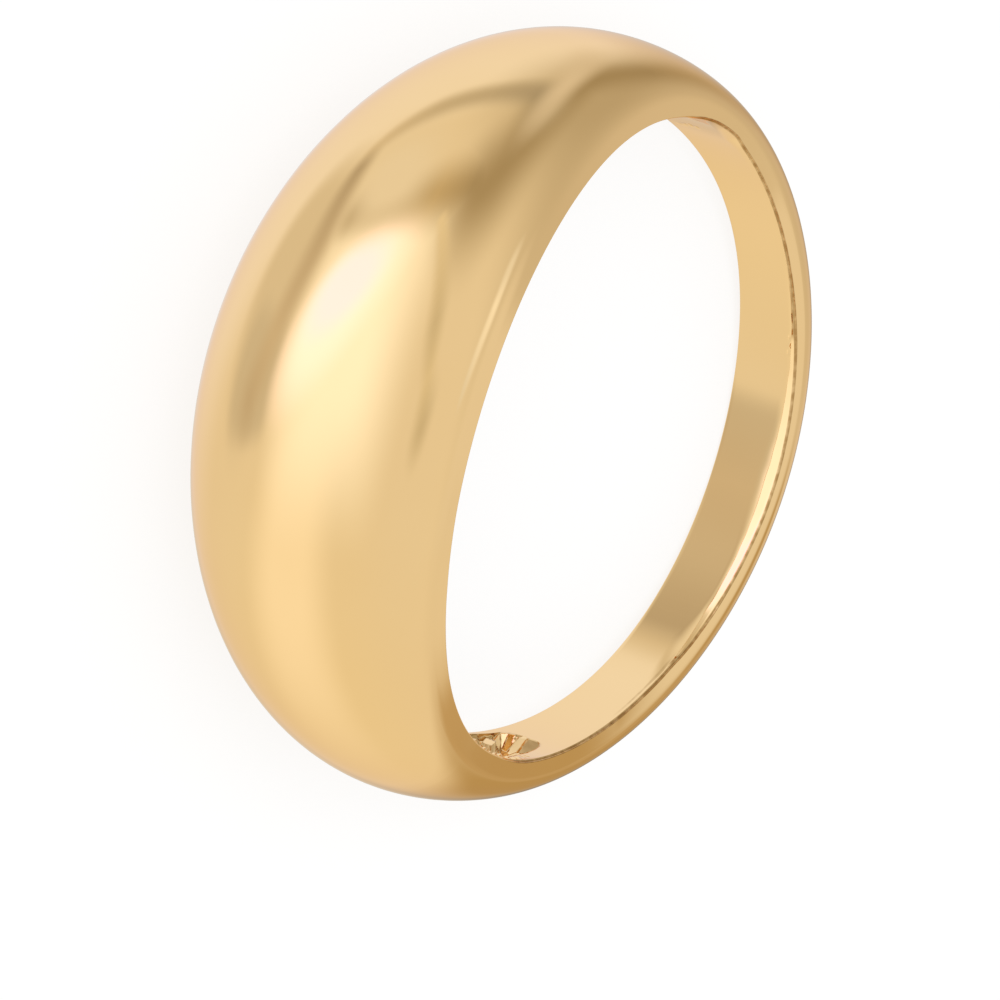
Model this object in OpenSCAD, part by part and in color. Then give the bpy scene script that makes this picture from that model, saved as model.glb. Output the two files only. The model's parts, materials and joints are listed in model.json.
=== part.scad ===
// Dome ring: one casting, a wide hollowed dome that tapers into a narrow band.
// The ring lies on its side, so its finger hole leans a little from upright.
// Lengths are in millimetres and angles in degrees.

/* [Finger hole] */
// Diameter of the finger hole
finger_hole_diameter = 17.3; // [15.7:0.1:19.8]

/* [Dome] */
// Width of the dome along the finger, at its widest place
dome_width = 7.6; // [6:0.1:11]
// Height of the dome's crown above the finger hole
dome_rise = 4.2; // [3:0.1:5.5]

/* [Shank] */
// Width of the narrow band behind the finger
shank_width = 2; // [1.6:0.1:3.5]
// Thickness of the narrow band behind the finger
shank_thickness = 1.35; // [1.1:0.05:2]

/* [Section] */
// Height of the upright side below the curve of the crown
side_height = 0.42; // [0.3:0.02:0.7]
// Fullness of the crown's curve: 2 is an ellipse, more is squarer
crown_fullness = 1.95; // [1.7:0.05:2.8]
// Size of the rounded edge beside the finger
edge_round = 0.15; // [0.05:0.01:0.25]

/* [Hollow] */
// Thickness of the metal over the hollow
wall_thickness = 0.8; // [0.6:0.05:0.9]
// Width of the rim beside the hollow, at the middle of the dome
dome_rim_width = 0.9; // [0.6:0.05:1.4]
// Width that the rim has where the dome has narrowed to the shank
shank_rim_width = 0.4; // [0.3:0.05:0.6]
// Angle from the middle of the dome to the hollow's longer end
hollow_long_reach = 108.8; // [80:0.2:116]
// Angle from the middle of the dome to the hollow's shorter end
hollow_short_reach = 97; // [80:0.2:116]
// Length over which each end of the hollow rounds off
hollow_end_length = 1.9; // [1:0.1:4]
// Fullness of the hollow's curve and of its ends
hollow_fullness = 2.4; // [2:0.1:3]

/* [Fineness] */
// Number of sections round the band
band_sections = 120; // [60:4:144]
// Number of steps over the crown in a section
crown_steps = 16; // [8:2:20]
// Number of steps over the hollow in a section
hollow_steps = 14; // [8:2:18]
// Number of sections along the hollow between its ends
hollow_sections = 44; // [24:4:60]
// Number of sections in each end of the hollow
end_sections = 6; // [4:1:10]

/* [Hidden] */

// Columns of the table below
angle_column = function (row) row[0];
width_column = function (row) row[1];
rise_column = function (row) row[2];
// The band from the middle of the dome round to the back of the finger. Each row has the angle
// and how far the width and the rise there have come from the shank's size to the dome's.
band_rows = [
    [0, 1, 1],
    [45, 0.725, 0.65],
    [90, 0.19, 0.03],
    [135, -0.035, -0.02],
    [180, 0, 0]
];

gold = [0.83, 0.69, 0.42];
bore_radius = finger_hole_diameter / 2;
// How far the uncut band and the hollow's cutter reach into the finger hole
blank_overlap = 0.1;
hollow_overlap = 0.2;
// Share of the rounded edge's size at which its two flats meet
edge_meeting = 0.35;
// Share of the hollow's depth that its upright sides take, and that its very ends still have
hollow_side_share = 0.3;
end_depth_share = 0.7;
// Turn of the bore's start line, which puts it in the plain metal behind the finger
bore_turn_angle = 52.5;
bore_facets = 180;
// The last section in an end of the hollow, short of the point where it would vanish
last_turn_angle = 84;

function total(list, i = 0) = i < len(list) ? list[i] + total(list, i + 1) : 0;
function product(list, i = 0) = i < len(list) ? list[i] * product(list, i + 1) : 1;
function reversed(list) = [for (i = [len(list) - 1:-1:0]) list[i]];
function row_cosine(row) = cos(angle_column(row));

// A column of the table as one smooth curve through every row, even on both sides of the ring
function share(angle, column) = total([
    for (row = band_rows)
        column(row) * product([
            for (other = band_rows)
                if (other != row)
                    (cos(angle) - row_cosine(other)) / (row_cosine(row) - row_cosine(other))
        ])
]);
function between(shank_size, dome_size, angle, column) =
    shank_size + (dome_size - shank_size) * share(angle, column);
function half_width(angle) = between(shank_width, dome_width, angle, width_column) / 2;
function rise(angle) = between(shank_thickness, dome_rise, angle, rise_column);
function rim_width(angle) = between(shank_rim_width, dome_rim_width, angle, width_column);

// A sine or cosine bent so that an arch through it is fuller or leaner than an ellipse
function bulge(value, fullness) = sign(value) * pow(abs(value), 2 / fullness);

// An arch from one side to the other, as points of distance from the finger's axis and height
function arch(foot, half, height, fullness, steps) = [
    for (i = [0:steps])
        let (turn = 180 * i / steps - 90)
            [foot + height * bulge(cos(turn), fullness), half * bulge(sin(turn), fullness)]
];

// The rounded edge beside the finger, from the upright side in to the bore and a little past it
function edge(half) = [
    [bore_radius + edge_round, half],
    [bore_radius + edge_round * edge_meeting, half - edge_round * edge_meeting],
    [bore_radius - blank_overlap,
        half - edge_round - blank_overlap * (1 - edge_meeting) / edge_meeting]
];
function flipped(points) = reversed([for (p = points) [p[0], -p[1]]]);
function band_section(angle) =
    let (half = half_width(angle))
        concat(
            flipped(edge(half)),
            arch(bore_radius + side_height, half, rise(angle) - side_height,
                crown_fullness, crown_steps),
            edge(half)
        );
function hollow_section(angle, size) =
    let (half = (half_width(angle) - rim_width(angle)) * size,
        depth = (rise(angle) - wall_thickness) * (end_depth_share + (1 - end_depth_share) * size),
        foot = bore_radius - hollow_overlap)
        concat(
            [[foot, -half]],
            arch(bore_radius + depth * hollow_side_share, half, depth * (1 - hollow_side_share),
                hollow_fullness, hollow_steps),
            [[foot, half]]
        );

// A section's points stood up at their angle round the finger, the dome's middle towards -Y
function placed(points, angle) = [
    for (p = points) [p[0] * sin(angle), -p[0] * cos(angle), p[1]]
];

// Two triangles on each four-sided patch between two sections
function patches(first, next, count, steps) = [
    for (j = [0:steps - 1])
        let (a = first + j, b = first + (j + 1) % count, c = next + (j + 1) % count, d = next + j)
            each [[a, b, c], [a, c, d]]
];

// The end of a hollow shape closed in strips that run straight across its section
function end_strips(first, count) = [
    for (j = [0:floor(count / 2) - 1])
        let (a = first + j, b = first + count - 1 - j)
            b - a > 2 ? [a, a + 1, b - 1, b] : [a, a + 1, b]
];

band_points = [
    for (i = [0:band_sections - 1])
        let (angle = 360 * i / band_sections) each placed(band_section(angle), angle)
];

// Where along the hollow its sections stand, each as an angle and a size from 0 to 1. The longer
// end is towards +X.
end_angle = hollow_end_length / bore_radius * 180 / PI;
body_start = end_angle - hollow_short_reach;
body_end = hollow_long_reach - end_angle;
function hollow_end(start, way) = [
    for (i = [1:end_sections])
        let (turn = last_turn_angle * i / end_sections)
            [start + way * end_angle * bulge(sin(turn), hollow_fullness),
                bulge(cos(turn), hollow_fullness)]
];
hollow_stations = concat(
    reversed(hollow_end(body_start, -1)),
    [for (i = [0:hollow_sections])
        [body_start + (body_end - body_start) * i / hollow_sections, 1]],
    hollow_end(body_end, 1)
);

// The lean at which the dome's lower edge and the shank's lower side touch one flat surface
front_half = half_width(0);
front_radius = bore_radius + edge_round;
lean = min([
    for (p = band_section(180)) atan2(p[1] + front_half, p[0] + front_radius)
]);
leaning_y = [for (p = band_points) p[1] * cos(lean) + p[2] * sin(lean)];
leaning_z = [for (p = band_points) p[2] * cos(lean) - p[1] * sin(lean)];
bore_centre = [0, -(min(leaning_y) + max(leaning_y)) / 2, -min(leaning_z)];

module band_blank() {
    count = len(band_section(0));
    polyhedron(band_points, [
        for (i = [0:band_sections - 1])
            each patches(i * count, ((i + 1) % band_sections) * count, count, count)
    ]);
}

module finger_bore() {
    rotate([0, 0, bore_turn_angle])
        cylinder(h = 2 * dome_width, r = bore_radius, center = true, $fn = bore_facets);
}

module dome_hollow() {
    count = len(hollow_section(0, 1));
    last = len(hollow_stations) - 1;
    polyhedron(
        [for (station = hollow_stations)
            each placed(hollow_section(station[0], station[1]), station[0])],
        concat(
            [for (strip = end_strips(0, count)) reversed(strip)],
            [for (i = [0:last - 1]) each patches(i * count, (i + 1) * count, count, count)],
            end_strips(last * count, count)
        )
    );
}

module dome_band() {
    color(gold)
        translate(bore_centre)
            rotate([-lean, 0, 0])
                difference() {
                    band_blank();
                    finger_bore();
                    dome_hollow();
                }
}

dome_band();
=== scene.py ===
"""Looks of the dome ring: the band with its cast hollow, the studio round it and the camera.

The ring's sizes are in millimetres and degrees, the studio's in metres. An angle round the finger
counts from the middle of the dome, towards +X, and a height counts along the finger from the
middle of the band.
"""
from __future__ import annotations

import json
import logging
from dataclasses import dataclass
from enum import Enum

import bpy
import numpy as np
from mathutils import Matrix

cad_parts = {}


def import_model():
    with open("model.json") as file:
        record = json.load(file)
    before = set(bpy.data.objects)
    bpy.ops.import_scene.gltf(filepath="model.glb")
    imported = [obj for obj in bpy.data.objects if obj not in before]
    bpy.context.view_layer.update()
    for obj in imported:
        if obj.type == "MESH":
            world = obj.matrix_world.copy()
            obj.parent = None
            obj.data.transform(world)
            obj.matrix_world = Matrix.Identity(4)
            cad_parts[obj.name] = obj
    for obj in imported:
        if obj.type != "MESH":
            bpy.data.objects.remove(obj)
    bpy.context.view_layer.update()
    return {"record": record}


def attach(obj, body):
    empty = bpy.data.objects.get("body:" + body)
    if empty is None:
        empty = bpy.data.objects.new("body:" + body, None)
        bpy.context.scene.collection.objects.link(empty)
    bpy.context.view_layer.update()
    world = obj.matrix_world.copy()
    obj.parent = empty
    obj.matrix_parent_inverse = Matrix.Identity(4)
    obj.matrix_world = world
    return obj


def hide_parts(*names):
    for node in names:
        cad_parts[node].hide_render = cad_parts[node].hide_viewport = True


LOG = logging.getLogger("dome_ring")
# Metres in a millimetre
METRES = 0.001
# A length that keeps a division by a distance of nothing finite
TINY = 1e-9

Colour = tuple[float, float, float]
# A place and the value there
Row = tuple[float, float]
# Two places between which something comes in, as its start and its end
Span = tuple[float, float]

WHITE: Colour = (1.0, 1.0, 1.0)


class Side(Enum):
    """The two sides of the band along the finger."""

    NEAR = 1
    FAR = -1


class Measure(Enum):
    """The two sizes that change round the finger, by their column in the band's table."""

    WIDTH = 1
    RISE = 2


class MixSocket(Enum):
    """Numbers of the colour sockets on a mix node, whose names stand on several sockets."""

    FACTOR = 0
    FIRST = 6
    SECOND = 7
    RESULT = 2


class Channel(Enum):
    """Names of the values that the mesh carries: its painted shade and its cast skin."""

    # How much dark brown shade is painted on a point: in the creases, seams, pits and along the
    # far lip
    PAINTED_SHADE = "grime"
    CAST = "cast"


def bulge(value: np.ndarray, fullness: float) -> np.ndarray:
    """Bends a sine or cosine so that an arch through it is fuller than an ellipse.

    Formula: the value's size to the power 2 / fullness, with the value's sign.

    Args:
        value: sines or cosines.
        fullness: 2 for an ellipse, more for a squarer arch.

    Returns:
        The bent values.
    """
    return np.sign(value) * np.abs(value) ** (2.0 / fullness)


def smooth(value: np.ndarray, low: float, high: float) -> np.ndarray:
    """Rises from 0 at low to 1 at high: 3 t squared minus 2 t cubed, with t held between 0 and 1.

    Args:
        value: where to read the step.
        low: the step's foot.
        high: the step's head.

    Returns:
        The step's height at each value.
    """
    t = np.clip((value - low) / (high - low), 0.0, 1.0)
    return t * t * (3.0 - 2.0 * t)


def table_line(rows: tuple[Row, ...], at: np.ndarray) -> np.ndarray:
    """Reads a short table of (place, value) rows as straight lines between its rows.

    Args:
        rows: the table, with rising places.
        at: the places to read.

    Returns:
        The value at each place.
    """
    places, values = np.array(rows, float).T
    return np.interp(at, places, values)


def direction(azimuth: np.ndarray | float, elevation: np.ndarray | float) -> np.ndarray:
    """Unit vectors of directions.

    Formula: azimuth 0 is -Y and turns towards +X; the elevation's sine is the height.

    Args:
        azimuth: degrees round +Z.
        elevation: degrees above the floor.

    Returns:
        An array with a last axis of three.
    """
    a = np.radians(azimuth)
    e = np.radians(elevation)
    return np.stack([np.sin(a) * np.cos(e), -np.cos(a) * np.cos(e), np.sin(e)], -1)


def facing(way: np.ndarray, roll: float = 0.0) -> np.ndarray:
    """Axes of a lamp or camera that looks back along a direction.

    Formula: the level line across the direction and the line square to both are turned about the
    direction by the roll.

    Args:
        way: unit vector towards the lamp or camera.
        roll: turn in degrees.

    Returns:
        The axes across, up and back, in columns.
    """
    level = np.cross((0.0, 0.0, 1.0), way)
    level = level / np.linalg.norm(level)
    turn = np.radians(roll)
    across = level * np.cos(turn) + np.cross(way, level) * np.sin(turn)
    return np.stack([across, np.cross(way, across), way], 1)


@dataclass(frozen=True)
class BandLaw:
    """The band's sizes and the laws that its section follows round the finger."""

    finger_radius: float = 8.65
    dome_width: float = 7.6
    dome_rise: float = 4.2
    shank_width: float = 2.0
    shank_thickness: float = 1.35
    side_height: float = 0.42
    crown_fullness: float = 1.95
    wall_thickness: float = 0.8
    dome_rim_width: float = 0.9
    shank_rim_width: float = 0.4
    rows: tuple[tuple[float, float, float], ...] = (
        # angle, how far the width and the rise have come from the shank's to the dome's
        (0.0, 1.0, 1.0),
        (45.0, 0.725, 0.65),
        (90.0, 0.19, 0.03),
        (135.0, -0.035, -0.02),
        (180.0, 0.0, 0.0),
    )

    def share(self, angle: np.ndarray, measure: Measure) -> np.ndarray:
        """How far a size has come from the shank's to the dome's.

        Formula: the polynomial in the cosine of the angle that passes through every row of the
        table, in Lagrange's form, so it is even on both sides of the ring.

        Args:
            angle: angles round the finger.
            measure: the width or the rise.

        Returns:
            The share at each angle.
        """
        table = np.array(self.rows)
        knots = np.cos(np.radians(table[:, 0]))
        x = np.cos(np.radians(angle))[..., None]
        gaps = x - knots
        total = np.zeros(np.shape(angle))
        for i, value in enumerate(table[:, measure.value]):
            others = np.arange(len(knots)) != i
            total += value * np.prod(gaps[..., others] / (knots[i] - knots[others]), -1)
        return total

    def half_width(self, angle: np.ndarray) -> np.ndarray:
        """Half the band's width along the finger at each angle."""
        change = self.dome_width - self.shank_width
        return (self.shank_width + change * self.share(angle, Measure.WIDTH)) / 2

    def rise(self, angle: np.ndarray) -> np.ndarray:
        """Height of the crown above the finger hole at each angle."""
        change = self.dome_rise - self.shank_thickness
        return self.shank_thickness + change * self.share(angle, Measure.RISE)

    def rim_width(self, angle: np.ndarray) -> np.ndarray:
        """Width of the rim beside the hollow at each angle."""
        change = self.dome_rim_width - self.shank_rim_width
        return self.shank_rim_width + change * self.share(angle, Measure.WIDTH)


@dataclass
class Strip:
    """Part of every section: radius, height and finish values, one row per angle."""

    radius: np.ndarray
    height: np.ndarray
    grime: np.ndarray
    cast: np.ndarray

    @classmethod
    def of(
        cls,
        radius: np.ndarray,
        height: np.ndarray,
        grime: np.ndarray | float = 0.0,
        cast: np.ndarray | float = 0.0,
    ) -> Strip:
        """Makes a strip, with every array brought to the strip's full shape.

        Args:
            radius: distance from the finger's axis.
            height: place along the finger.
            grime: how much dark shade is painted here.
            cast: how much of the rough cast skin is here.

        Returns:
            The strip.
        """
        shape = np.broadcast_shapes(np.shape(radius), np.shape(height))
        return cls(*(np.broadcast_to(a, shape) for a in (radius, height, grime, cast)))

    @staticmethod
    def joined(strips: list[Strip]) -> Strip:
        """Lays strips side by side into whole sections."""
        names = ("radius", "height", "grime", "cast")
        return Strip(*(np.concatenate([getattr(s, name) for s in strips], 1) for name in names))


@dataclass(frozen=True)
class Facet:
    """One flat, mirror-like place in the casting's rough end: depth, slopes and painted shade at
    a point.
    """

    angle: float
    height: float
    depth: float
    slope_round: float
    slope_along: float
    grime: float = 0.0


@dataclass(frozen=True)
class CastHollow:
    """The hollow under the dome: its mouth, its roof and the rough casting at its ends."""

    law: BandLaw
    fullness: float = 2.4
    side_share: float = 0.3
    short_end: float = -97.0
    short_end_length: float = 12.6
    short_end_fade: float = 2.0
    long_end: float = 108.4
    # Where the lips' tables and the rough casting take over, and the angle that the casting needs
    mouth_start: float = 90.0
    rough_run: float = 3.0
    # Past its ends the hollow's strip goes on as plain wall: its half width there, as a share of
    # the band's less an inset, and the angle over which it widens to that
    plain_share: float = 0.5
    plain_inset: float = 0.1
    plain_run: float = 6.0
    tip_half_width: float = 0.15
    near_lip: tuple[Row, ...] = (
        # angle, height of the lip
        (90.0, 1.04),
        (94.2, 0.99),
        (97.1, 0.85),
        (100.0, 0.78),
        (104.2, 0.63),
        (106.6, 0.5),
        (107.8, 0.36),
        (108.4, 0.15),
    )
    far_lip: tuple[Row, ...] = (
        # angle, height of the lip
        (90.0, -1.04),
        (96.0, -1.1),
        (100.9, -1.08),
        (104.0, -0.92),
        (106.8, -0.8),
        (107.9, -0.6),
        (108.4, -0.15),
    )
    facets: tuple[Facet, ...] = (
        # angle, height, depth, slope round the finger, slope along it, painted shade
        Facet(106.6, 0.12, 0.22, -0.9, 0.0, 0.4),
        Facet(106.7, -0.28, 0.21, -0.9, -0.25),
        Facet(106.6, -0.55, 0.16, -1.3, 0.6, 0.1),
        Facet(106.5, -0.66, 0.12, -1.8, 1.5),
        Facet(105.4, -0.8, 0.12, -0.7, 0.12),
        Facet(104.2, -0.88, 0.1, -0.5, 1.2, 0.1),
        Facet(102.6, -0.93, 0.12, -0.4, -0.1),
        Facet(101.0, -0.98, 0.12, -0.5, 1.2, 0.2),
        Facet(103.4, 0.05, 0.45, -0.8, -0.3, 0.1),
    )
    # Width of the painted shade along the seams between the facets
    seam: float = 0.03
    lip_slope: float = 6.0
    # The far lip's line of painted shade: how dark it is, and the distances from the lip over
    # which it fades
    lip_shade: float = 0.7
    lip_line: Span = (0.015, 0.04)
    # The cast skin: its height, the depths over which it comes in, and its seeded waves, each
    # with waves round and along the finger and a phase drawn between two limits
    skin_height: float = 0.006
    skin_depths: Span = (0.005, 0.08)
    skin_seed: int = 7
    skin_waves: int = 9
    skin_least: tuple[float, float, float] = (0.5, 2.0, 0.0)
    skin_most: tuple[float, float, float] = (3.0, 9.0, 6.28)

    def lips(self, angle: np.ndarray) -> tuple[np.ndarray, np.ndarray]:
        """Places of the far and near lips at each angle.

        Formula: the half width less the rim inside the hollow, rounded off towards the short end
        like a full ellipse; the two tables at the long end; past each end a narrow band that
        widens again, where the depth is nothing.

        Args:
            angle: angles round the finger.

        Returns:
            The far lip's and the near lip's heights.
        """
        half = self.law.half_width(angle) - self.law.rim_width(angle)
        start = self.short_end + self.short_end_length
        along = np.clip((start - angle) / self.short_end_length, 0.0, 1.0)
        half = half * (1 - along**self.fullness) ** (1 / self.fullness)
        near = np.maximum(half, self.tip_half_width)
        far = -near
        at_end = angle > self.mouth_start
        near = np.where(at_end, table_line(self.near_lip, angle), near)
        far = np.where(at_end, table_line(self.far_lip, angle), far)
        past = np.maximum(self.short_end - angle, angle - self.long_end)
        plain_half = self.plain_share * self.law.half_width(angle) - self.plain_inset
        widen = smooth(past, 0.0, self.plain_run)
        near = near + (plain_half - near) * widen
        far = far + (-plain_half - far) * widen
        return far, near

    def rough_floor(self, angle: np.ndarray, height: np.ndarray) -> tuple[np.ndarray, np.ndarray]:
        """The faceted casting at the long end.

        Formula: each point lies on the plane of the facet whose middle is nearest to it; the
        painted shade is the facet's own, and full in the seams, where the two nearest middles are
        as far away as each other.

        Args:
            angle: angles, one column.
            height: heights along the finger, one row per angle.

        Returns:
            The depth and the painted shade at each point.
        """
        depth = np.zeros(height.shape)
        grime = np.zeros(height.shape)
        nearest = np.full(height.shape, np.inf)
        second = np.full(height.shape, np.inf)
        for facet in self.facets:
            run = np.radians(angle - facet.angle) * self.law.finger_radius
            side = height - facet.height
            plane = facet.depth + facet.slope_round * run + facet.slope_along * side
            gap = np.hypot(run, side)
            closer = gap < nearest
            second = np.where(closer, nearest, np.minimum(second, gap))
            depth = np.where(closer, plane, depth)
            grime = np.where(closer, facet.grime, grime)
            nearest = np.minimum(gap, nearest)
        seam = 1 - smooth(second - nearest, 0.0, self.seam)
        return depth, np.maximum(grime, seam)

    def floor(
        self, angle: np.ndarray, height: np.ndarray, across: np.ndarray
    ) -> tuple[np.ndarray, np.ndarray]:
        """The hollow's surface below the finger hole's wall.

        Formula: a full-ellipse arch across the body with low upright sides; at the long end the
        least of that, of the faceted casting and of a steep slope up to the lip. A thin line of
        painted shade follows the far lip.

        Args:
            angle: angles, one column.
            height: heights along the finger, one row per angle.
            across: place between the lips, from -1 at the far one to 1 at the near one.

        Returns:
            The depth and the painted shade at each point.
        """
        full = self.law.rise(angle) - self.law.wall_thickness
        arch = (1 - np.abs(across) ** self.fullness).clip(0.0) ** (1 / self.fullness)
        body = full * (self.side_share * (arch > 0) + (1 - self.side_share) * arch)
        body = body * smooth(angle, self.short_end, self.short_end + self.short_end_fade)
        planes, grime = self.rough_floor(angle, height)
        far, near = self.lips(angle)
        lip = self.lip_slope * np.minimum(near - height, height - far)
        end = np.radians(self.long_end - angle) * self.law.finger_radius * self.lip_slope
        rough = np.minimum(np.minimum(np.minimum(planes, lip), end), body)
        mix = smooth(angle, self.mouth_start, self.mouth_start + self.rough_run)
        depth = body + (rough - body) * mix
        inside = (angle > self.short_end) & (angle < self.long_end)
        line = self.lip_shade * (1 - smooth(height - far, *self.lip_line))
        return np.where(inside, depth, 0.0).clip(0.0), np.maximum(grime, line) * mix * inside

    def strip(self, angle: np.ndarray, count: int) -> Strip:
        """The hollow's part of each section, from the far lip to the near lip.

        Formula: the place across runs as a sine, so the columns crowd at both lips; the radius
        is the finger hole's plus the depth, plus a low random skin.

        Args:
            angle: angles, one column.
            count: columns across the hollow.

        Returns:
            The strip.
        """
        across = np.sin(np.linspace(-np.pi / 2, np.pi / 2, count))[None, :]
        far, near = self.lips(angle)
        height = (far + near) / 2 + (near - far) / 2 * across
        depth, grime = self.floor(angle, height, across)
        cast = smooth(depth, *self.skin_depths)
        skin = self.skin_height * cast * self.ripples(angle, height)
        return Strip.of(self.law.finger_radius + depth + skin, height, grime, cast)

    def ripples(self, angle: np.ndarray, height: np.ndarray) -> np.ndarray:
        """Low random waves of the cast skin.

        Formula: a sum of sines with seeded directions and phases, over the square root of how
        many there are.

        Args:
            angle: angles, one column.
            height: heights along the finger, one row per angle.

        Returns:
            The waves' height at each point.
        """
        rng = np.random.default_rng(self.skin_seed)
        total = np.zeros(height.shape)
        for _ in range(self.skin_waves):
            turns, waves, phase = rng.uniform(self.skin_least, self.skin_most)
            total += np.sin(turns * angle + waves * height + phase)
        return total / np.sqrt(self.skin_waves)


@dataclass(frozen=True)
class NearEdge:
    """The softened edge of the finger hole that faces the viewer, with its fine crease painted
    dark as shade.

    From the wall outwards it is a strip that falls back softly, a bevel, a rounded corner that
    holds the crease, and the upright side, which leans outwards a little towards the crease.
    """

    # The corner's size, the share of it that is left beside the dome, and the angles from the
    # dome's middle over which the corner grows and the crease comes in
    round_size: float = 0.06
    dome_round_share: float = 0.4
    crease_span: Span = (84.0, 94.0)
    # The crease: its depth, the angles over which it gets shallow at the back, by what share,
    # and how evenly its painted shade lies, where 1 follows the notch and less is more even
    crease_depth: float = 0.024
    shallow_span: Span = (150.0, 160.0)
    shallow_share: float = 0.75
    crease_evenness: float = 0.3
    crease_columns: int = 8
    # The columns of the strip, with the last but one close to its border, so that nothing fades
    # across that border, and the bevel's first two columns for the same reason
    soft_columns: int = 12
    soft_border: float = 0.97
    bevel_columns: int = 5
    bevel_border: Span = (0.02, 0.1)
    # The bevel: its slope, and the widths over which it comes in and takes painted brown shade
    bevel_slope: float = 0.55
    bevel_span: Span = (0.03, 0.06)
    # Places of the side's columns between the corner and the crown's foot, as shares
    side_shares: tuple[float, ...] = (0.03, 0.08, 0.35, 0.7)
    # The crease's waves along the finger: their size, seed and counts in one turn
    wander_size: float = 0.004
    wander_seed: int = 3
    wander_counts: tuple[int, ...] = (9, 17, 26, 41, 58, 83)
    lean: tuple[Row, ...] = (
        # angle, slope at which the side's face leans outwards towards the crease
        (-128.0, 0.0),
        (-114.0, 0.06),
        (-85.0, 0.06),
        (-60.0, 0.0),
        (15.0, 0.0),
        (30.0, 0.09),
        (60.0, 0.08),
        (74.0, 0.04),
        (112.0, 0.06),
        (124.0, 0.08),
        (140.0, 0.0),
    )
    # The crease's short inner branch, a line of painted shade: its distance from the bevel, its
    # half width, the share of that which is fully dark, and how dark it is
    fork_gap: float = 0.1
    fork_width: float = 0.045
    fork_core: float = 0.3
    fork: tuple[Row, ...] = (
        # angle, how dark the branch's painted shade is
        (124.0, 0.0),
        (131.0, 0.6),
        (139.0, 0.5),
        (144.0, 0.0),
    )
    softening: tuple[tuple[float, float, float, float], ...] = (
        # angle, width of the softened strip, how far it falls back, width of the bevel past it
        (-180.0, 0.32, 0.02, 0.2),
        (-172.0, 0.2, 0.015, 0.16),
        (-165.0, 0.16, 0.01, 0.11),
        (-155.0, 0.12, 0.01, 0.05),
        (-140.0, 0.1, 0.0, 0.03),
        (-119.5, 0.12, 0.0, 0.03),
        (-113.0, 0.22, 0.015, 0.03),
        (-110.5, 0.28, 0.03, 0.03),
        (-108.8, 0.32, 0.06, 0.03),
        (-107.2, 0.36, 0.09, 0.03),
        (-104.5, 0.34, 0.085, 0.03),
        (-101.3, 0.3, 0.07, 0.03),
        (-98.0, 0.28, 0.05, 0.03),
        (-90.0, 0.25, -0.03, 0.03),
        (0.0, 0.15, -0.045, 0.03),
        (90.0, 0.12, -0.03, 0.03),
        (96.0, 0.12, -0.01, 0.03),
        (126.0, 0.2, 0.0, 0.03),
        (132.0, 0.24, 0.005, 0.03),
        (140.0, 0.35, 0.02, 0.03),
        (146.0, 0.42, 0.025, 0.08),
        (152.0, 0.18, 0.016, 0.12),
        (158.0, 0.14, 0.013, 0.13),
        (166.0, 0.18, 0.015, 0.16),
        (173.0, 0.28, 0.02, 0.2),
        (180.0, 0.32, 0.02, 0.2),
    )

    def sizes(self, angle: np.ndarray) -> tuple[np.ndarray, np.ndarray, np.ndarray]:
        """Width and fall of the softened strip and width of the bevel, read from the table."""
        table = np.array(self.softening).T
        width, fall, bevel = (np.interp(angle, table[0], column) for column in table[1:])
        return width, fall, bevel

    def creased(self, angle: np.ndarray) -> np.ndarray:
        """How far the crease has come in at each angle, the same on both sides of the dome."""
        return smooth(np.abs(angle), *self.crease_span)

    def corner_size(self, angle: np.ndarray) -> np.ndarray:
        """Size of the rounded corner at each angle."""
        grown = self.dome_round_share + (1 - self.dome_round_share) * self.creased(angle)
        return self.round_size * grown

    def flare(self, angle: np.ndarray, law: BandLaw) -> np.ndarray:
        """How far the side's lean carries its lower edge outwards at each angle."""
        return table_line(self.lean, angle) * (law.side_height - self.round_size)

    def wander(self, angle: np.ndarray) -> np.ndarray:
        """Small seeded waves that the crease makes along the finger as it runs round.

        Formula: a sum of sines whose counts of waves in one turn are whole numbers, so that the
        crease closes on itself.

        Args:
            angle: angles round the finger.

        Returns:
            How far the crease stands off its mean line.
        """
        rng = np.random.default_rng(self.wander_seed)
        phases = rng.uniform(0.0, 2 * np.pi, len(self.wander_counts))
        waves = np.sin(np.radians(angle)[..., None] * np.array(self.wander_counts) + phases)
        return self.wander_size * waves.sum(-1)

    def inner_border(self, angle: np.ndarray, law: BandLaw) -> np.ndarray:
        """Where the wall starts to soften, which is where the rim ends.

        Formula: the half width with the side's lean, less the corner, the bevel and the strip.

        Args:
            angle: angles round the finger.
            law: the band's sizes.

        Returns:
            The height along the finger at each angle.
        """
        width, _, bevel = self.sizes(angle)
        half = law.half_width(angle) + self.flare(angle, law)
        return half - self.corner_size(angle) - bevel - width

    def soft_strip(self, angle: np.ndarray, law: BandLaw) -> Strip:
        """The strip in which the wall falls back towards the edge, with the crease's branch.

        Formula: the radius grows with the square of the share of the strip that is passed; the
        branch is a line of painted shade at a fixed distance from the bevel's outer border.

        Args:
            angle: angles, one column.
            law: the band's sizes.

        Returns:
            The strip, from the wall outwards.
        """
        width, fall, bevel = self.sizes(angle)
        start = self.inner_border(angle, law)
        share = np.append(np.linspace(0.0, self.soft_border, self.soft_columns - 1), 1.0)[None, :]
        height = start + (width + self.wander(angle)) * share
        gap = np.abs(start + width + bevel - self.fork_gap - height)
        line = 1 - smooth(gap, self.fork_core * self.fork_width, self.fork_width)
        forked = table_line(self.fork, angle)
        return Strip.of(law.finger_radius + fall * share**2, height, grime=forked * line)

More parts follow.
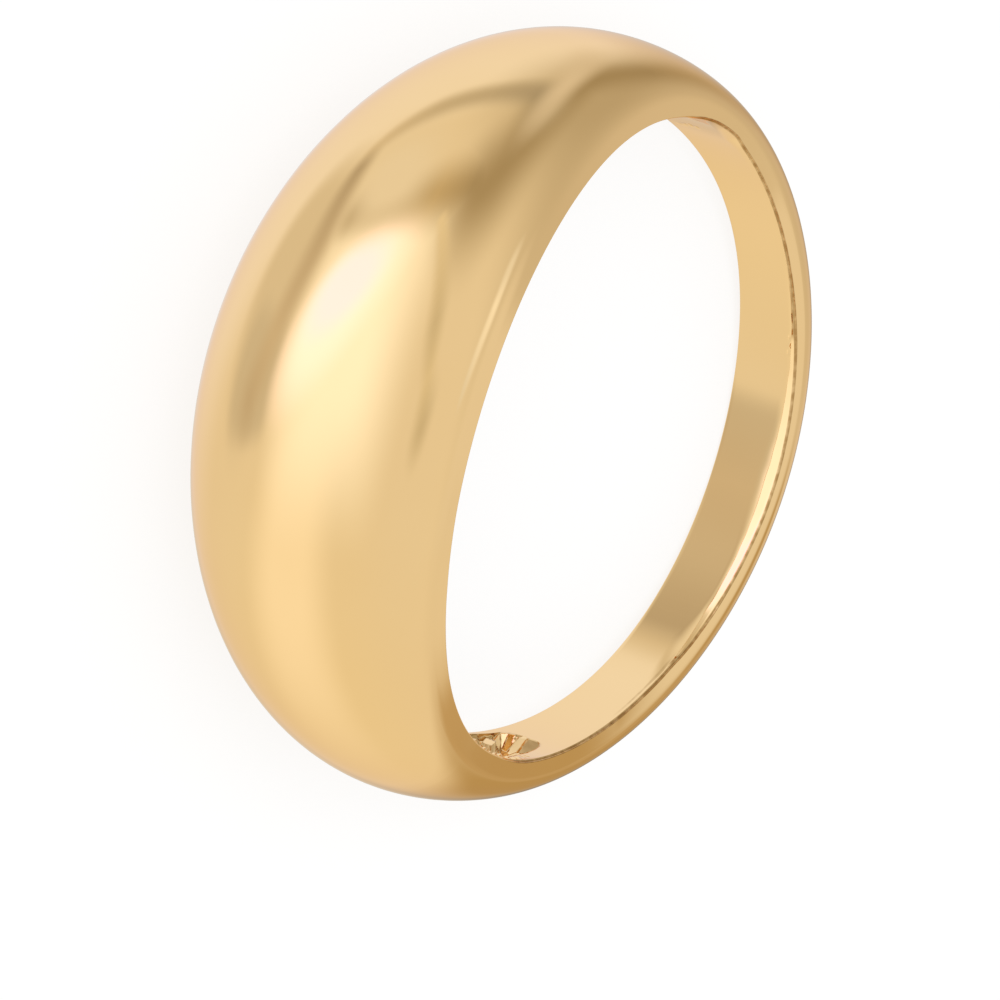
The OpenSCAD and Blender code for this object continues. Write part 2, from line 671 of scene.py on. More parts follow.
    def bevel(self, angle: np.ndarray, law: BandLaw) -> tuple[Strip, np.ndarray]:
        """The straight bevel outside the strip.

        Formula: straight along the finger and outwards at the bevel's slope; brown shade is
        painted where the bevel is still coming in.

        Args:
            angle: angles, one column.
            law: the band's sizes.

        Returns:
            The strip, and how far below the wall it ends at each angle.
        """
        width, fall, bevel = self.sizes(angle)
        shift = self.wander(angle)
        first, second = self.bevel_border
        share = np.append(first, np.linspace(second, 1.0, self.bevel_columns - 1))[None, :]
        grown = smooth(bevel, *self.bevel_span)
        drop = fall + bevel * (self.bevel_slope * grown)
        height = self.inner_border(angle, law) + width + shift + (bevel - shift) * share
        radius = law.finger_radius + fall + (drop - fall) * share
        return Strip.of(radius, height, grime=4 * grown * (1 - grown)), drop

    def corner(self, angle: np.ndarray, law: BandLaw, drop: np.ndarray) -> Strip:
        """The rounded corner and the crease in it.

        Formula: a quarter circle from the wall's face to the side's, with a notch of half a sine
        across it; the painted shade is that sine to a low power, and full at the corner's end.

        Args:
            angle: angles, one column.
            law: the band's sizes.
            drop: how far below the wall the bevel ends.

        Returns:
            The strip, from the bevel outwards.
        """
        turn = np.linspace(0.0, np.pi / 2, self.crease_columns)[None, 1:]
        creased = self.creased(angle)
        size = self.corner_size(angle)
        shallow = 1 - self.shallow_share * smooth(np.abs(angle), *self.shallow_span)
        notch = self.crease_depth * creased * shallow * np.sin(2 * turn)
        radius = law.finger_radius + drop + size * (1 - np.cos(turn)) + notch
        half = law.half_width(angle) + self.flare(angle, law)
        height = half - size * (1 - np.sin(turn)) - notch
        end = np.arange(turn.size) == turn.size - 1
        grime = np.maximum(np.sin(2 * turn).clip(0.0) ** self.crease_evenness, end)
        return Strip.of(radius, height, grime=creased * grime)

    def side(self, angle: np.ndarray, law: BandLaw, drop: np.ndarray) -> Strip:
        """The upright side, up to the crown's foot.

        Formula: straight from the corner to the crown's foot, with the lean run out on the way;
        the painted shade covers the first column alone.

        Args:
            angle: angles, one column.
            law: the band's sizes.
            drop: how far below the wall the bevel ends.

        Returns:
            The strip, from the corner outwards.
        """
        low = law.finger_radius + drop + self.corner_size(angle)
        high = law.finger_radius + law.side_height
        share = np.array([self.side_shares])
        flare = self.flare(angle, law)
        height = law.half_width(angle) + flare - flare * share
        grime = self.creased(angle) * (share == share.min())
        return Strip.of(low + (high - low) * share, height, grime)

    def strip(self, angle: np.ndarray, law: BandLaw) -> Strip:
        """The softened strip, the bevel, the crease and the side up to the crown's foot."""
        bevel, drop = self.bevel(angle, law)
        corner = self.corner(angle, law, drop)
        side = self.side(angle, law, drop)
        return Strip.joined([self.soft_strip(angle, law), bevel, corner, side])


@dataclass(frozen=True)
class Bead:
    """One small blob of the casting on the finger hole's wall; a lift below 0 makes a pit."""

    angle: float
    height: float
    size: float
    lift: float


@dataclass(frozen=True)
class CastBeads:
    """The row of blobs and pits that the casting left beside the hollow's end."""

    edge_power: float = 1.5
    beads: tuple[Bead, ...] = (
        # angle, height, size, lift
        Bead(73.6, 1.92, 0.13, 0.1),
        Bead(75.3, 1.8, 0.14, 0.17),
        Bead(77.6, 1.78, 0.1, 0.08),
        Bead(80.2, 1.66, 0.15, 0.13),
        Bead(82.3, 1.63, 0.09, 0.09),
        Bead(84.2, 1.57, 0.12, 0.09),
        Bead(87.0, 1.45, 0.16, 0.11),
        Bead(89.9, 1.38, 0.12, 0.08),
        Bead(92.5, 1.3, 0.13, 0.06),
        Bead(95.3, 1.12, 0.12, 0.04),
        Bead(98.0, 1.0, 0.05, -0.06),
        Bead(99.2, 0.98, 0.05, -0.05),
        Bead(-106.5, -0.64, 0.11, -0.02),
        Bead(-105.9, -0.44, 0.12, -0.025),
        Bead(-105.4, -0.22, 0.12, -0.03),
        Bead(-105.5, 0.0, 0.11, -0.025),
        Bead(-99.4, 0.34, 0.1, -0.02),
        Bead(-99.6, 0.52, 0.1, -0.02),
        Bead(-135.1, 0.93, 0.06, -0.02),
        Bead(-136.8, 0.94, 0.06, 0.02),
        Bead(-148.1, 0.91, 0.05, -0.02),
        Bead(-149.7, 0.89, 0.06, 0.02),
        Bead(-155.7, 0.77, 0.06, -0.015),
        Bead(-157.2, 0.78, 0.07, 0.02),
        Bead(-158.4, 0.75, 0.06, -0.015),
    )

    def lift(self, angle: np.ndarray, height: np.ndarray, radius: float) -> np.ndarray:
        """How far the blobs stand off the wall.

        Formula: the sum over the blobs of the lift times one less the squared distance in sizes,
        which is never below nothing, to the edge's power.

        Args:
            angle: angles, one column.
            height: heights along the finger, one row per angle.
            radius: the wall's radius.

        Returns:
            The lift at each point.
        """
        total = np.zeros(np.broadcast_shapes(angle.shape, height.shape))
        for bead in self.beads:
            run = np.radians(angle - bead.angle) * radius
            gap = (run**2 + (height - bead.height) ** 2) / bead.size**2
            total = total + bead.lift * (1 - gap).clip(0.0) ** self.edge_power
        return total


@dataclass(frozen=True)
class Polish:
    """The polished pale gold: mirror-bright, with faint wear, dark painted shade and a cast skin.
    """

    colour: Colour = (0.95, 0.67, 0.33)
    warm_colour: Colour = (0.93, 0.64, 0.3)
    # Colour of the painted shade in the creases, seams, pits and along the far lip
    painted_shade_colour: Colour = (0.44, 0.25, 0.085)
    grazing_tint: Colour = (0.94, 0.84, 0.78)
    roughness: float = 0.05
    roughness_spread: float = 0.03
    cast_roughness: float = 0.1
    # Noise: turns per metre and octaves of the colour's clouds, the rubbing and the painted shade
    clouds: tuple[float, float] = (260.0, 3.0)
    rubbing: tuple[float, float] = (1500.0, 4.0)
    patches: tuple[float, float] = (4000.0, 2.0)
    # The parts of the noise's range that the rubbing and the painted shade use, and how much
    # painted shade is left between the patches
    rubbing_range: Span = (0.3, 0.7)
    patch_range: Span = (0.3, 0.6)
    least_shade: float = 0.45

    def material(self) -> bpy.types.Material:
        """Builds the finish.

        Formula: the colour is mixed by cloudy noise and then towards the painted shade's colour
        by the mesh's painted shade, in fine patches; the roughness is the polish's with rubbing
        noise, and more by the mesh's cast skin. All noise is on Object coordinates.

        Returns:
            The material.
        """
        material = bpy.data.materials.new("polished_gold")
        material.use_nodes = True
        tree = material.node_tree
        shader = tree.nodes["Principled BSDF"]
        shader.inputs["Metallic"].default_value = 1.0
        shader.inputs["Specular Tint"].default_value = (*self.grazing_tint, 1.0)
        place = tree.nodes.new("ShaderNodeTexCoord").outputs["Object"]
        clouds = self.noise(tree, place, *self.clouds)
        rubbing = self.noise(tree, place, *self.rubbing)
        patches = self.noise(tree, place, *self.patches)
        grime = self.channel(tree, Channel.PAINTED_SHADE)
        cast = self.channel(tree, Channel.CAST)

        tint = self.mix_colour(tree, clouds, self.colour, self.warm_colour)
        # Painted shade: the mesh's value, broken into fine patches, mixes in the dark brown
        shade_patches = self.scale(tree, patches, self.patch_range, (self.least_shade, 1.0))
        patchy = self.combine(tree, "MULTIPLY", grime, shade_patches)
        dark = self.mix_colour(tree, patchy, tint, self.painted_shade_colour)
        tree.links.new(dark, shader.inputs["Base Color"])

        low = self.roughness - self.roughness_spread / 2
        polish = self.scale(tree, rubbing, self.rubbing_range, (low, low + self.roughness_spread))
        skin = self.scale(tree, cast, (0.0, 1.0), (0.0, self.cast_roughness - self.roughness))
        total = self.combine(tree, "ADD", polish, skin)
        tree.links.new(total, shader.inputs["Roughness"])
        return material

    @staticmethod
    def noise(
        tree: bpy.types.NodeTree, place: bpy.types.NodeSocket, scale: float, detail: float
    ) -> bpy.types.NodeSocket:
        """A noise texture's value.

        Args:
            tree: the material's nodes.
            place: the coordinates it reads.
            scale: turns per metre.
            detail: octaves.

        Returns:
            The value's socket.
        """
        node = tree.nodes.new("ShaderNodeTexNoise")
        node.inputs["Scale"].default_value = scale
        node.inputs["Detail"].default_value = detail
        tree.links.new(place, node.inputs["Vector"])
        return node.outputs["Fac"]

    @staticmethod
    def channel(tree: bpy.types.NodeTree, channel: Channel) -> bpy.types.NodeSocket:
        """The socket that reads one of the mesh's channels."""
        node = tree.nodes.new("ShaderNodeAttribute")
        node.attribute_name = channel.value
        return node.outputs["Fac"]

    @staticmethod
    def combine(
        tree: bpy.types.NodeTree,
        operation: str,
        first: bpy.types.NodeSocket,
        second: bpy.types.NodeSocket,
    ) -> bpy.types.NodeSocket:
        """Adds or multiplies two values.

        Args:
            tree: the material's nodes.
            operation: ADD or MULTIPLY.
            first: one value's socket.
            second: the other value's socket.

        Returns:
            The result's socket.
        """
        node = tree.nodes.new("ShaderNodeMath")
        node.operation = operation
        tree.links.new(first, node.inputs[0])
        tree.links.new(second, node.inputs[1])
        return node.outputs[0]

    @staticmethod
    def scale(
        tree: bpy.types.NodeTree, value: bpy.types.NodeSocket, source: Span, result: Span
    ) -> bpy.types.NodeSocket:
        """Maps a value from one range to another, held within it.

        Args:
            tree: the material's nodes.
            value: the value's socket.
            source: the value's range.
            result: the result's range.

        Returns:
            The result's socket.
        """
        node = tree.nodes.new("ShaderNodeMapRange")
        names = ("From Min", "From Max", "To Min", "To Max")
        for name, number in zip(names, (*source, *result)):
            node.inputs[name].default_value = number
        tree.links.new(value, node.inputs["Value"])
        return node.outputs["Result"]

    @staticmethod
    def mix_colour(
        tree: bpy.types.NodeTree,
        factor: bpy.types.NodeSocket,
        first: bpy.types.NodeSocket | Colour,
        second: bpy.types.NodeSocket | Colour,
    ) -> bpy.types.NodeSocket:
        """Mixes two colours by a factor.

        Args:
            tree: the material's nodes.
            factor: the factor's socket.
            first: colour or socket where the factor is 0.
            second: colour or socket where the factor is 1.

        Returns:
            The mixed colour's socket.
        """
        node = tree.nodes.new("ShaderNodeMix")
        node.data_type = "RGBA"
        tree.links.new(factor, node.inputs[MixSocket.FACTOR.value])
        for socket, colour in ((MixSocket.FIRST, first), (MixSocket.SECOND, second)):
            if isinstance(colour, tuple):
                node.inputs[socket.value].default_value = (*colour, 1.0)
            else:
                tree.links.new(colour, node.inputs[socket.value])
        return node.outputs[MixSocket.RESULT.value]


@dataclass(frozen=True)
class Band:
    """The whole ring as one closed surface: angle round the finger by place round the section."""

    law: BandLaw
    hollow: CastHollow
    near_edge: NearEdge
    beads: CastBeads
    finish: Polish
    far_round: float = 0.06
    crown_columns: int = 40
    side_columns: int = 4
    edge_columns: int = 7
    rim_columns: int = 5
    hollow_columns: int = 80
    # The blobs leave the side alone: they end this far inside it. Shade is painted into the
    # pits, and comes in between two depths.
    bead_margin: float = 0.03
    pit_shade: float = 0.8
    pit_depths: Span = (0.005, 0.03)
    spans: tuple[tuple[float, float, float], ...] = (
        # from, to, step
        (-180.0, -160.0, 0.8),
        (-160.0, -134.0, 0.35),
        (-134.0, -112.0, 1.6),
        (-112.0, -90.0, 0.35),
        (-90.0, 72.0, 1.6),
        (72.0, 112.0, 0.2),
        (112.0, 122.0, 1.0),
        (122.0, 152.0, 0.8),
        (152.0, 180.0, 1.0),
    )

    def angles(self) -> np.ndarray:
        """Angles of the sections, fine over both ends of the hollow, as one column."""
        parts = [np.arange(start, end - step / 2, step) for start, end, step in self.spans]
        return np.concatenate(parts)[:, None]

    def crown(self, angle: np.ndarray) -> Strip:
        """The crown, from its near foot to its far foot.

        Formula: a full ellipse, half width by the rise less the upright side, above that side.

        Args:
            angle: angles, one column.

        Returns:
            The strip.
        """
        turn = np.linspace(0.0, np.pi, self.crown_columns)[None, :]
        foot = self.law.finger_radius + self.law.side_height
        up = bulge(np.sin(turn), self.law.crown_fullness)
        radius = foot + (self.law.rise(angle) - self.law.side_height) * up
        height = self.law.half_width(angle) * bulge(np.cos(turn), self.law.crown_fullness)
        return Strip.of(radius, height)

    def far_side(self, angle: np.ndarray) -> Strip:
        """The far upright side and its rounded edge.

        Formula: straight down the side, then a quarter circle from the side's to the wall's face.

        Args:
            angle: angles, one column.

        Returns:
            The strip, from the crown's foot to the wall.
        """
        half = self.law.half_width(angle)
        low = self.law.finger_radius + self.far_round
        high = self.law.finger_radius + self.law.side_height
        share = np.linspace(1.0, 0.0, self.side_columns + 2)[None, 1:-1]
        side = Strip.of(low + (high - low) * share, -half)
        turn = np.linspace(0.0, np.pi / 2, self.edge_columns)[None, :]
        radius = self.law.finger_radius + self.far_round * (1 - np.sin(turn))
        edge = Strip.of(radius, -half + self.far_round * (1 - np.cos(turn)))
        return Strip.joined([side, edge])

    def rim(self, angle: np.ndarray, side: Side) -> Strip:
        """The finger hole's wall between a lip of the hollow and the edge on that side.

        Formula: straight along the finger, at the finger hole's radius.

        Args:
            angle: angles, one column.
            side: which rim.

        Returns:
            The strip, in the section's order.
        """
        far_lip, near_lip = self.hollow.lips(angle)
        half = self.law.half_width(angle)
        share = np.linspace(0.0, 1.0, self.rim_columns + 2)[None, 1:-1]
        if side is Side.FAR:
            start, end = -half + self.far_round, far_lip
        else:
            start, end = near_lip, self.near_edge.inner_border(angle, self.law)
        return Strip.of(self.law.finger_radius, start + (end - start) * share)

    def sections(self, angle: np.ndarray) -> Strip:
        """Every section as one loop of points, in order round it.

        Formula: the parts are laid side by side, and the blobs are raised and the pits sunk
        square to the finger hole's wall.

        Args:
            angle: angles, one column.

        Returns:
            The sections.
        """
        wall = Strip.joined(
            [
                self.rim(angle, Side.FAR),
                self.hollow.strip(angle, self.hollow_columns),
                self.rim(angle, Side.NEAR),
                self.near_edge.strip(angle, self.law),
            ]
        )
        lift = self.beads.lift(angle, wall.height, self.law.finger_radius)
        lift = lift * (wall.height < self.law.half_width(angle) - self.bead_margin)
        wall.radius = wall.radius - lift
        # Dark shade painted into the pits, more in the deeper ones
        wall.grime = np.maximum(wall.grime, self.pit_shade * smooth(-lift, *self.pit_depths))
        return Strip.joined([self.crown(angle), self.far_side(angle), wall])

    def build(self, centre: np.ndarray, axis: np.ndarray) -> bpy.types.Object:
        """Makes the ring's object.

        Formula: a section's point stands at its radius and angle round the finger's axis, the
        dome towards -Y, then leans with the axis about X and moves to the finger hole's centre.

        Args:
            centre: the finger hole's centre in metres.
            axis: the finger's axis, a unit vector.

        Returns:
            The object, with its finish.
        """
        angle = self.angles()
        loop = self.sections(angle)
        turn = np.radians(angle)
        x = loop.radius * np.sin(turn)
        y = -loop.radius * np.cos(turn)
        z = loop.height
        along_y, along_z = float(axis[1]), float(axis[2])
        points = np.stack([x, y * along_z + z * along_y, z * along_z - y * along_y], -1)
        points = points.reshape(-1, 3) * METRES + centre

        rows, columns = loop.radius.shape
        here = np.arange(rows * columns).reshape(rows, columns)
        ahead = np.roll(here, -1, 0)
        faces = np.stack([here, np.roll(here, -1, 1), np.roll(ahead, -1, 1), ahead], -1)
        values = {Channel.PAINTED_SHADE: loop.grime, Channel.CAST: loop.cast}
        return surface("ring_band", points, faces.reshape(-1, 4), self.finish.material(), values)


def surface(
    name: str,
    points: np.ndarray,
    faces: np.ndarray,
    material: bpy.types.Material,
    values: dict[Channel, np.ndarray] | None = None,
) -> bpy.types.Object:
    """Puts points and four-sided faces into a smooth mesh object in the scene.

    Args:
        name: the object's name.
        points: the vertices in metres.
        faces: the faces' vertex numbers, four a row.
        material: the finish.
        values: channels of one number per vertex.

    Returns:
        The object, at the origin.
    """
    mesh = bpy.data.meshes.new(name)
    mesh.vertices.add(len(points))
    mesh.vertices.foreach_set("co", points.astype(np.float32).ravel())
    mesh.loops.add(faces.size)
    mesh.loops.foreach_set("vertex_index", faces.astype(np.int32).ravel())
    mesh.polygons.add(len(faces))
    mesh.polygons.foreach_set("loop_start", np.arange(0, faces.size, 4, dtype=np.int32))
    mesh.update(calc_edges=True)
    mesh.shade_smooth()
    for channel, value in (values or {}).items():
        attribute = mesh.attributes.new(channel.value, "FLOAT", "POINT")
        attribute.data.foreach_set("value", value.astype(np.float32).ravel())
    mesh.materials.append(material)
    obj = bpy.data.objects.new(name, mesh)
    bpy.context.scene.collection.objects.link(obj)
    return obj


@dataclass(frozen=True)
class LightPanel:
    """A soft-edged panel or dark flag, placed by its direction from the ring."""

    azimuth: float
    elevation: float
    half_width: float
    half_height: float
    level: float
    roll: float = 0.0
    softness: float = 0.4
    squareness: float = 2.0
    tint: Colour = WHITE
    # Furthest that a panel paints from its middle, which keeps it off the place opposite
    reach: float = 150.0

    def over(self, radiance: np.ndarray, way: np.ndarray) -> np.ndarray:
        """Paints the panel over what is there.

        Formula: distances across and up from the panel's middle, in degrees, are turned by the
        roll and joined into one distance by a full ellipse; a smooth step across its edge mixes
        the panel's level in.

        Args:
            radiance: what is there, with three colours.
            way: unit vectors of the directions.

        Returns:
            The new radiance.
        """
        middle = direction(self.azimuth, self.elevation)
        away = np.degrees(np.arccos(np.clip(way @ middle, -1.0, 1.0)))
        flat = way @ facing(middle, self.roll)[:, :2]
        flat = flat / (np.linalg.norm(flat, axis=-1, keepdims=True) + TINY) * away[..., None]
        scaled = np.abs(flat) / (self.half_width, self.half_height)
        distance = (scaled**self.squareness).sum(-1) ** (1 / self.squareness)
        mask = 1 - smooth(distance, 1 - self.softness, 1 + self.softness)
        mask = mask * (away < self.reach)
        return radiance + (np.array(self.tint) * self.level - radiance) * mask[..., None]


@dataclass(frozen=True)
class LightRibbon:
    """A soft strip through points of (azimuth, elevation, half width, level)."""

    points: tuple[tuple[float, float, float, float], ...]
    softness: float = 0.9
    tint: Colour = WHITE
    steps: int = 12

    def over(self, radiance: np.ndarray, way: np.ndarray) -> np.ndarray:
        """Paints the strip over what is there.

        Formula: a Catmull-Rom curve runs through the points on the sphere; each direction takes
        the place on it that is nearest in half widths, and a smooth step across the strip's edge
        mixes the level in.

        Args:
            radiance: what is there, with three colours.
            way: unit vectors of the directions.

        Returns:
            The new radiance.
        """
        table = np.array(self.points)
        knots = direction(table[:, 0], table[:, 1])
        last = len(knots) - 1
        t = np.linspace(0, last, self.steps * last + 1)
        ends = np.concatenate([2 * knots[:1] - knots[1:2], knots, 2 * knots[-1:] - knots[-2:-1]])
        i = np.minimum(t.astype(int), last - 1)
        f = (t - i)[:, None]
        p0, p1, p2, p3 = (ends[i + k] for k in range(4))
        path = p1 + 0.5 * (p2 - p0) * f + (p0 - 2.5 * p1 + 2 * p2 - 0.5 * p3) * f**2
        path = path + (1.5 * p1 - 0.5 * p0 - 1.5 * p2 + 0.5 * p3) * f**3
        path = path / np.linalg.norm(path, axis=1, keepdims=True)
        widths = np.interp(t, np.arange(last + 1), table[:, 2])
        levels = np.interp(t, np.arange(last + 1), table[:, 3])
        away = np.degrees(np.arccos(np.clip(way @ path.T, -1.0, 1.0))) / widths
        nearest = away.argmin(-1)
        distance = away.min(-1)
        mask = 1 - smooth(distance, 1 - self.softness, 1 + self.softness)
        light = np.array(self.tint) * levels[nearest][..., None]
        return radiance + (light - radiance) * mask[..., None]


@dataclass(frozen=True)
class LightTent:
    """The studio that the polished metal mirrors: one sphere of light, soft panels and flags."""

    radius: float = 1.5
    columns: int = 360
    rows: int = 180
    level: float = 0.85
    shapes: tuple[LightPanel | LightRibbon, ...] = (
        # of a panel: azimuth, elevation, half width, half height, level, roll, softness,
        # squareness, tint; of a ribbon: its points, softness, tint
        # broad fills: cool from below on the left, warm on the right, a pale glow beside the
        # key light
        LightPanel(-120, -50, 45, 55, 0.95, 0, 0.3, 2.0, (1.0, 1.05, 1.2)),
        LightPanel(115, -10, 65, 45, 0.88, -25, 0.8, 4.0, (1.0, 0.97, 0.87)),
        LightPanel(50, 10, 60, 22, 1.03, -25, 0.6, 3.0, WHITE),
        # shade below the key light
        LightPanel(-16, -39, 32, 23, 0.75, 0, 0.3, 3.0, WHITE),
        LightPanel(8, -34, 14, 20, 0.66, 0, 0.3, 4.0, WHITE),
        # key light: a wide soft box, and its brighter middle
        LightPanel(-10, 33, 36, 34, 1.22, 15, 0.7, 4.0, (1.0, 1.1, 1.3)),
        LightPanel(-18, 16, 33, 16, 1.5, -40, 0.5, 2.0, (1.0, 0.98, 1.3)),
        LightPanel(-24, 15, 20, 11, 2.1, -50, 0.5, 2.0, (1.0, 0.65, 1.1)),
        # grey screen at the upper left
        LightPanel(-140, 15, 36, 25, 0.53, 10, 0.8, 2.5, (1.0, 0.95, 0.85)),
        # dark frame round the pane of light on the left, the gap beside it, the pane itself and
        # a small flag
        LightRibbon(
            (
                (-192, -34, 12, 0.3),
                (-176, -32, 12, 0.5),
                (-160, -22, 12, 0.58),
                (-145, -4, 9, 0.4),
                (-127, 9, 6, 0.4),
                (-102, 42, 16, 0.42),
                (-88, 40, 10, 0.42),
                (-68, 30, 9, 0.6),
                (-53, 13, 6, 0.5),
                (-42, -8, 6, 0.44),
            ),
            1.0,
            (1.0, 0.9, 0.7),
        ),
        LightRibbon(
            (
                (-115, 20, 8, 0.55),
                (-110, 9, 6, 0.44),
                (-94, -4, 5, 0.57),
                (-80, -17, 5, 0.63),
                (-62, -30, 4, 0.75),
            ),
            0.9,
            (1.0, 0.98, 0.95),
        ),
        LightPanel(-55, 0, 16, 22, 0.87, 5, 0.65, 1.7, (1.0, 1.03, 1.1)),
        LightPanel(-120, 6, 5, 18, 0.75, -20, 1.0, 2.5, (1.0, 1.0, 1.05)),
        # brown bounce behind the ring on the right, with two small ones above it
        LightPanel(158, -11, 13, 20, 0.52, -15, 0.45, 2.0, (1.0, 0.8, 0.45)),
        LightPanel(167, 3, 3, 7, 0.57, -4, 0.5, 2.0, (1.0, 0.82, 0.53)),
        LightPanel(173, 9, 4, 10, 0.53, -11, 0.42, 1.6, (1.0, 0.8, 0.48)),
        LightPanel(178, 29, 9, 6, 0.84, 0, 0.45, 2.0, WHITE),
        LightPanel(158, -50, 9, 9, 0.8, 0, 0.7, 2.0, (1.0, 0.95, 0.8)),
        # pale slit at the back
        LightRibbon(
            (
                (-167, 38, 3, 0.9),
                (-171, 39, 3, 1.05),
                (-176, 42, 2.5, 0.95),
                (-180, 44, 2, 0.85),
            ),
            0.7,
            (1.0, 1.05, 1.15),
        ),
        # dark slit along the foot of the key light
        LightRibbon(
            (
                (-54, -29, 5, 0.52),
                (-28, -22, 8, 0.6),
                (-4, -27, 7, 0.66),
                (14, -34, 7, 0.6),
            ),
            1.0,
            (1.0, 0.95, 0.9),
        ),
        # thin bar overhead
        LightRibbon(
            (
                (-70, 44, 2, 0.85),
                (-99, 76, 4, 0.67),
                (-167, 80, 3, 0.78),
                (160, 73, 5, 0.66),
            ),
            1.0,
            (1.0, 0.98, 0.9),
        ),
    )

    def radiance(self, way: np.ndarray) -> np.ndarray:
        """Light from each direction: the even level with every shape painted over it."""
        light = np.full((*way.shape[:-1], 3), self.level)
        for shape in self.shapes:
            light = shape.over(light, way)
        return light

    def build(self) -> bpy.types.Object:
        """Makes the sphere, seen by reflections alone.

        Formula: azimuth by elevation on a grid that closes round and at both poles.

        Returns:
            The sphere's object.
        """
        azimuth = np.linspace(-180.0, 180.0, self.columns, endpoint=False)
        elevation = np.linspace(-90.0, 90.0, self.rows + 1)[1:-1]
        way = direction(*np.meshgrid(azimuth, elevation))
        poles = np.array([[0.0, 0.0, -1.0], [0.0, 0.0, 1.0]])
        ways = np.concatenate([way.reshape(-1, 3), poles])
        rows = self.rows - 1
        here = np.arange(rows * self.columns).reshape(rows, self.columns)
        beside = np.roll(here, -1, 1)
        body = np.stack([here[:-1], here[1:], beside[1:], beside[:-1]], -1).reshape(-1, 4)
        south = np.full(self.columns, rows * self.columns)
        low = np.stack([south, here[0], beside[0]], -1)
        high = np.stack([south + 1, beside[-1], here[-1]], -1)
        mesh = bpy.data.meshes.new("light_tent")
        mesh.from_pydata(ways * self.radius, [], [*body.tolist(), *low.tolist(), *high.tolist()])
        colours = mesh.attributes.new("radiance", "FLOAT_COLOR", "POINT")
        light = self.radiance(ways)
        rgba = np.concatenate([light, np.ones((len(light), 1))], 1)
        colours.data.foreach_set("color", rgba.astype(np.float32).ravel())
        mesh.materials.append(self.material())
        tent = bpy.data.objects.new("light_tent", mesh)
        bpy.context.scene.collection.objects.link(tent)
        # Only reflections see the sphere
        tent.visible_camera = False
        tent.visible_diffuse = False
        tent.visible_transmission = False
        tent.visible_volume_scatter = False
        tent.visible_shadow = False
        return tent

    @staticmethod
    def material() -> bpy.types.Material:
        """Emission that reads the sphere's radiance."""
        material = bpy.data.materials.new("tent_light")
        material.use_nodes = True
        material.cycles.emission_sampling = "NONE"
        tree = material.node_tree
        tree.nodes.clear()
        source = tree.nodes.new("ShaderNodeAttribute")
        source.attribute_name = "radiance"
        glow = tree.nodes.new("ShaderNodeEmission")
        out = tree.nodes.new("ShaderNodeOutputMaterial")
        tree.links.new(source.outputs["Color"], glow.inputs["Color"])
        tree.links.new(glow.outputs["Emission"], out.inputs["Surface"])
        return material


@dataclass(frozen=True)
class Studio:
    """The plain pale lit table, the even light on it and the soft lamp that gives the shadow."""

    floor_half: float = 6.0
    floor_lines: int = 9
    floor_colour: Colour = (0.2, 0.2, 0.2)
    floor_glow: float = 0.815
    sky_level: float = 0.9
    lamp_watts: float = 0.8
    lamp_size: float = 0.5
    lamp_distance: float = 0.6
    lamp_azimuth: float = -25.0
    lamp_elevation: float = 55.0

    def floor(self) -> bpy.types.Object:
        """Makes the table's pale face.

        Formula: a flat square grid at height 0, which reflections don't see.

        Returns:
            The table's object.
        """
        steps = np.linspace(-self.floor_half, self.floor_half, self.floor_lines)
        x, y = np.meshgrid(steps, steps, indexing="ij")
        points = np.stack([x, y, 0 * x], -1).reshape(-1, 3)
        here = np.arange(x.size).reshape(x.shape)
        corners = [here[:-1, :-1], here[1:, :-1], here[1:, 1:], here[:-1, 1:]]
        faces = np.stack(corners, -1).reshape(-1, 4)
        material = bpy.data.materials.new("pale_floor")
        material.use_nodes = True
        material.cycles.emission_sampling = "NONE"
        shader = material.node_tree.nodes["Principled BSDF"]
        shader.inputs["Base Color"].default_value = (*self.floor_colour, 1.0)
        shader.inputs["Roughness"].default_value = 1.0
        shader.inputs["Specular IOR Level"].default_value = 0.0
        shader.inputs["Emission Color"].default_value = (*WHITE, 1.0)
        shader.inputs["Emission Strength"].default_value = self.floor_glow
        floor = surface("floor", points, faces, material)
        floor.visible_glossy = False
        return floor

    def sky(self) -> None:
        """Sets the even white light."""
        world = bpy.data.worlds.new("studio")
        world.use_nodes = True
        background = world.node_tree.nodes["Background"]
        background.inputs["Color"].default_value = (*WHITE, 1.0)
        background.inputs["Strength"].default_value = self.sky_level
        bpy.context.scene.world = world

    def lamp(self) -> None:
        """Hangs the soft square lamp, turned to the ring."""
        light = bpy.data.lights.new("soft_lamp", "AREA")
        light.energy = self.lamp_watts
        light.size = self.lamp_size
        lamp = bpy.data.objects.new("soft_lamp", light)
        way = direction(self.lamp_azimuth, self.lamp_elevation)
        lamp.matrix_world = placed(facing(way), way * self.lamp_distance)
        lamp.visible_glossy = False
        lamp.visible_camera = False
        bpy.context.scene.collection.objects.link(lamp)


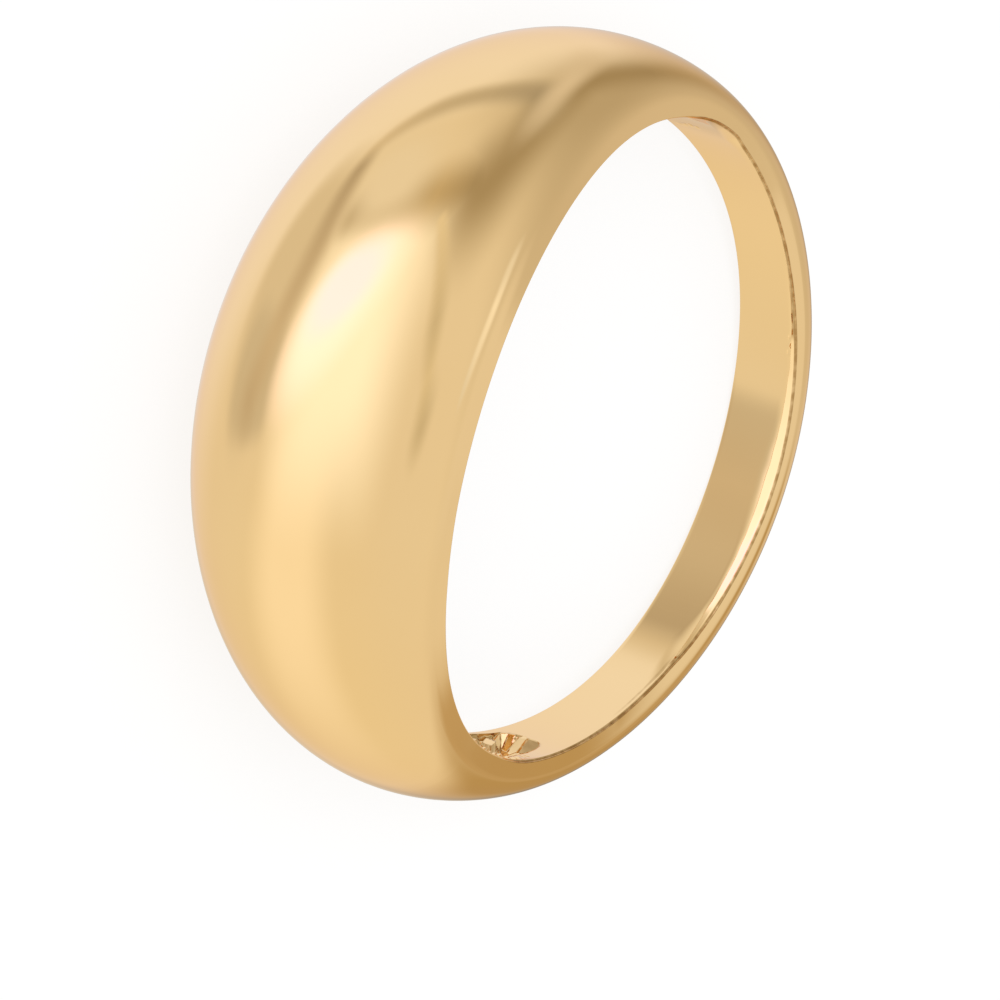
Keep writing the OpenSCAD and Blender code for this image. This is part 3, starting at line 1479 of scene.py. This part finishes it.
def placed(turn: np.ndarray, place: np.ndarray) -> Matrix:
    """A world matrix from three axes in columns and a place in metres."""
    matrix = np.eye(4)
    matrix[:3, :3] = turn
    matrix[:3, 3] = place
    return Matrix(matrix.tolist())


@dataclass(frozen=True)
class Viewpoint:
    """The photograph's camera: far off, looking down on the ring, and rolled.

    It looks at its aim, in millimetres, from a distance and a direction, and is rolled about
    that direction.
    """

    aim: tuple[float, float, float] = (2.451, 2.556, 0.0)
    distance: float = 335.96
    azimuth: float = -4.893
    elevation: float = 44.672
    roll: float = 109.478
    lens: float = 463.37
    sensor: float = 36.0
    clip: Span = (0.01, 20.0)

    def build(self) -> bpy.types.Object:
        """Makes the scene's camera.

        Formula: the eye stands at its distance from the aim, towards its azimuth and elevation.

        Returns:
            The camera's object.
        """
        data = bpy.data.cameras.new("camera")
        data.lens = self.lens
        data.sensor_width = self.sensor
        data.clip_start, data.clip_end = self.clip
        camera = bpy.data.objects.new("camera", data)
        way = direction(self.azimuth, self.elevation)
        eye = np.array(self.aim) + way * self.distance
        camera.matrix_world = placed(facing(way, self.roll), eye * METRES)
        bpy.context.scene.collection.objects.link(camera)
        bpy.context.scene.camera = camera
        return camera


def report(piece: bpy.types.Object) -> None:
    """Logs a piece's name and how many faces it has."""
    LOG.info("%s: %d faces", piece.name, len(piece.data.polygons))


def main() -> None:
    """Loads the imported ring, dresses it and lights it."""
    logging.basicConfig(level=logging.INFO, format="%(name)s %(message)s")
    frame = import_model()
    bore = frame["record"]["mounts"][0]
    Viewpoint().build()
    bpy.context.scene.view_settings.view_transform = "Standard"

    law = BandLaw(finger_radius=bore["dims"]["r_mm"])
    band = Band(law, CastHollow(law), NearEdge(), CastBeads(), Polish())
    ring = band.build(np.array(bore["pos_m"]), np.array(bore["axis"]))
    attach(ring, "root")
    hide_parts("dome_band")
    report(ring)

    studio = Studio()
    studio.sky()
    studio.lamp()
    floor = studio.floor()
    report(floor)
    tent = LightTent().build()
    report(tent)


if __name__ == "__main__":
    main()
